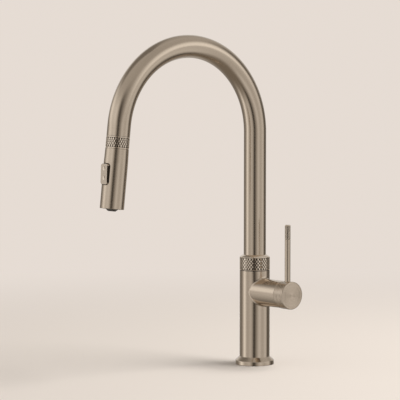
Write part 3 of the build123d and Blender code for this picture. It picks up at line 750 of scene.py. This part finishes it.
def tube_on_line():
    """Sweeps a circle along a line of points."""
    tree, graph, given = geometry_graph("tube_on_line", {
        "Line": "Geometry", "Radius": "Float", "Sides": "Int", "Closed": "Bool", "Material": "Material",
    })
    path = graph.node("GeometryNodeMeshToCurve", {}, {"Mesh": given("Line")})
    circle = graph.node("GeometryNodeCurvePrimitiveCircle", {"mode": "RADIUS"}, {
        "Resolution": given("Sides"), "Radius": given("Radius"),
    })
    tube = graph.node("GeometryNodeCurveToMesh", {}, {
        "Curve": path, "Profile Curve": circle, "Fill Caps": given("Closed"),
    })
    solid = graph.node("GeometryNodeRealizeInstances", {}, {0: tube})
    coated = graph.node("GeometryNodeSetMaterial", {}, {"Geometry": solid, "Material": given("Material")})
    graph.node("NodeGroupOutput", {}, {"Made": coated})
    return tree


def spout_line(first, last, step):
    """Points on the spout's centre line: up the riser, round the arch and down its straight end.

    first and last are lengths from the foot of the arch.
    """
    count = max(2, round((last - first) / step))
    lengths = [first + (last - first) * i / count for i in range(count + 1)]
    points = []
    for length in lengths:
        turn = min(max(length, 0), arch_length) / arch_radius
        point = Vector((0, arch_radius * (cos(turn) - 1), arch_start + arch_radius * sin(turn)))
        point.z += min(length, 0)
        points.append(point + pull * max(length - arch_length, 0))
    return points, lengths


def swept(name, points, lengths, sizes):
    """A circle swept along these points, with its faces turned outwards."""
    mesh = grown(line_mesh(points, lengths), tube, sizes)
    side = next(face for face in mesh.polygons if len(face.vertices) == 4)
    nearest = min(points, key=lambda point: (point - side.center).length)
    if side.normal.dot(side.center - nearest) < 0:
        mesh.flip_normals()
    mesh.name = name
    return mesh


def walled(mesh, thickness):
    """The open tube with a wall of this thickness on its inside."""
    holder = bpy.data.objects.new("holder", mesh)
    scene.collection.objects.link(holder)
    solidify = holder.modifiers.new("wall", "SOLIDIFY")
    solidify.thickness = thickness
    solidify.offset = -1
    solidify.use_rim = True
    made = bpy.data.meshes.new_from_object(holder.evaluated_get(bpy.context.evaluated_depsgraph_get()))
    bpy.data.objects.remove(holder)
    return smoothed(made, 40)


# ---- spout and hose -----------------------------------------------------------------------------


def spout():
    """The bent tube, open at both ends."""
    wall, step = 1.4 * MM, 2.5 * MM
    first = low("spout_tube").z - arch_start
    last = arch_length + past_arch("spout_tube")
    outside = swept("spout_outside", *spout_line(first, last, step), {
        "Radius": high("spout_tube").x, "Sides": 96, "Closed": False, "Material": champagne_spout,
    })
    mesh = walled(outside, wall)
    mesh.name = "spout_tube"
    piece("spout_bend", mesh, "spout", "champagne_brushed", "spout_tube")


def hose_length(name, points, lengths):
    """One closed length of the hose along these points."""
    clearance = 0.05 * MM
    mesh = swept(name, points, lengths, {
        "Radius": hose_radius - clearance, "Sides": 32, "Closed": True, "Material": braid,
    })
    return smoothed(mesh, 60)


def lower_hose(top):
    """The hose from its tail to the top of the arch, which stays in the spout."""
    points, lengths = spout_line(low("pullout_hose").z - arch_start, top, step=3 * MM)
    piece("hose_lower", hose_length("hose_lower", points, lengths), "spout", "hose_braid", "pullout_hose")


def upper_hose(top):
    """The hose from the top of the arch to the spray head, which draws out with the head.

    The part between start and end stretches, and its braid is laid evenly at the end of the travel.
    """
    travel = head_pull["range_m"][1]
    start, end = arch_end - pull * 26 * MM, arch_end - pull * 2 * MM
    stretch = end - start
    points, lengths = spout_line(top, arch_length + past_arch("pullout_hose"), step=0.4 * MM)
    for i, point in enumerate(points):
        share = min(max((point - start).dot(stretch) / stretch.length_squared, 0), 1)
        lengths[i] += travel * share * share * (3 - 2 * share)
    made = bpy.data.objects.new("hose_upper", hose_length("hose_upper", points, lengths))
    scene.collection.objects.link(made)
    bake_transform(made)
    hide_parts("pullout_hose")


# ---- knurled pieces -----------------------------------------------------------------------------


def knurled_band(name, profile, place, body, rise, sizes):
    """A turned ring or tip with diamonds cut round it, in place of its plain CAD node."""
    corner_ease, flat_share = 0.1 * MM, 0.70
    radius = max(corner[0] for corner in profile)
    row_pitch, edge = sizes["Row Pitch"], 0.32 * sizes["Row Pitch"]
    cut_bottom = sizes["Bottom"] + edge
    cut_top = sizes["Bottom"] + row_pitch * (sizes["Rows"] + 1) - edge
    metal = knurled(name + "_champagne", place, radius, rise, cut_bottom, cut_top)
    core = turned(name, eased(profile, corner_ease), metal)
    sizes = {
        "Radius": radius, "Rise": rise, "Sink": rise / 4, "Flat": flat_share, "Material": metal, **sizes,
    }
    mesh = grown(core, knurl, sizes)
    mesh.name = name
    mesh.transform(place)
    piece(name + "_cut", mesh, body, "champagne_knurled", name)


def collar():
    """The ring at the foot of the spout: diamonds up to the foot of its cone."""
    bottom, top, radius = span("knurled_collar", column)
    rise, land, wall, cone, rows = 0.5 * MM, 0.4 * MM, 1.92 * MM, 2.9 * MM, 6
    band_top, shoulder = top - cone, top - cone - MM
    tube_radius = high("spout_tube").x
    tube_bore, cone_top, neck_bore = tube_radius + 0.05 * MM, tube_radius + 0.6 * MM, radius - wall
    profile = [
        (radius, bottom), (radius, bottom + land), (radius - rise, bottom + land),
        (radius - rise, band_top - land), (radius, band_top - land), (radius, band_top),
        (cone_top, top), (tube_bore, top), (tube_bore, shoulder), (neck_bore, shoulder), (neck_bore, bottom),
    ]
    knurled_band("knurled_collar", profile, column, "spout", rise, {
        "Bottom": bottom, "Row Pitch": (band_top - bottom) / (rows + 1), "Columns": 33, "Rows": rows,
    })


def grip():
    """The knurled ring at the top of the spray head, between two thin grooves."""
    bottom, top, radius = span("grip_ring", head)
    rise, land, wall, rows = 0.42 * MM, 0.7 * MM, 2.05 * MM, 4
    profile = [
        (radius, bottom), (radius, bottom + land), (radius - rise, bottom + land),
        (radius - rise, top - land), (radius, top - land), (radius, top),
        (radius - wall, top), (radius - wall, bottom),
    ]
    knurled_band("grip_ring", profile, head, "spray_head", rise, {
        "Bottom": bottom + land, "Row Pitch": (top - bottom - 2 * land) / (rows + 1),
        "Columns": 30, "Rows": rows,
    })


def tip():
    """The knurled end of the lever."""
    bottom, top, radius = span("lever_tip", lever)
    rise, land, chamfer, rows = 0.22 * MM, 0.5 * MM, 0.8 * MM, 21
    bore, bore_top = 2.05 * MM, bottom + 14.1 * MM
    band_top = top - chamfer - land
    profile = [
        (0, top), (radius - chamfer, top), (radius, top - chamfer), (radius, band_top),
        (radius - rise, band_top), (radius - rise, bottom + land), (radius, bottom + land),
        (radius, bottom), (bore, bottom), (bore, bore_top), (0, bore_top),
    ]
    knurled_band("lever_tip", profile, lever, "lever_handle", rise, {
        "Bottom": bottom + land, "Row Pitch": (band_top - bottom - land) / (rows + 1),
        "Columns": 18, "Rows": rows,
    })


# ---- the whole faucet in its studio -------------------------------------------------------------

knurl = diamond_knurl()
tube = tube_on_line()

camera()
studio_light()
key_light()
floor_and_backdrop()
finish_cad_nodes()
spout()
lower_hose(arch_radius * pi / 2)
upper_hose(arch_radius * pi / 2)
collar()
grip()
tip()
